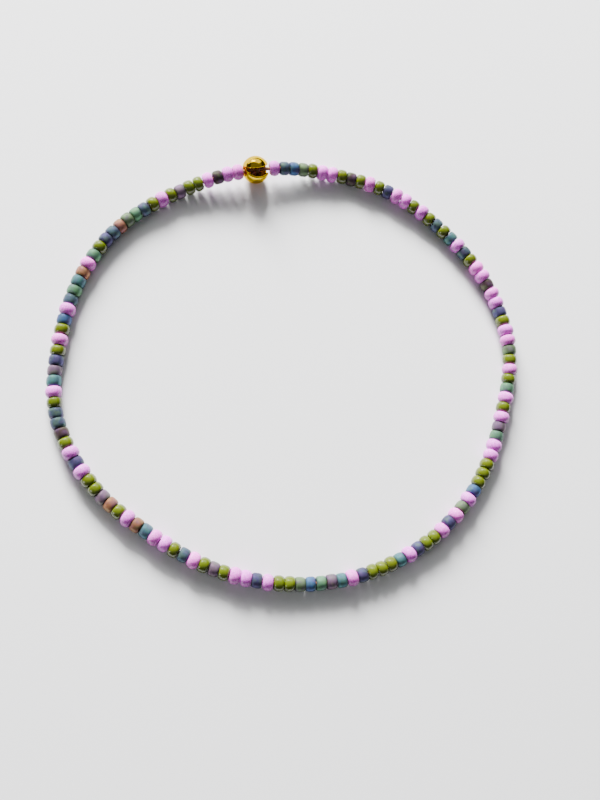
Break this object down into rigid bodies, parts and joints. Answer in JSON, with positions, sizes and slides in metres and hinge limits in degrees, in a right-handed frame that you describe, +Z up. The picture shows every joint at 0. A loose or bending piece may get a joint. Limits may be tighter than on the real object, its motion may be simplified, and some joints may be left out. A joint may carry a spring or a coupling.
{
  "type": "beaded bracelet",
  "caption": "Thin elastic bracelet of small round glass beads in lilac, olive and iridescent blue-green, closed by a small gold crimp cover.",
  "frame": {"origin": "middle of the loop's box, on the surface that the bracelet lies on", "axes": "+Z up from the surface, +X along the loop's longest width, +Y towards the crimp cover's side"},
  "size_m": [0.0676, 0.0628, 0.004],
  "materials": {
    "beads": "opaque glass: satin lilac, glossy olive green and matt iridescent blue, green and purple beads",
    "cover": "polished gold plate",
    "cord": "matt elastic"
  },
  "bodies": {
    "root": {"bead_strand": "beads", "crimp_cover": "cover", "elastic_cord": "cord"}
  },
  "joints": []
}
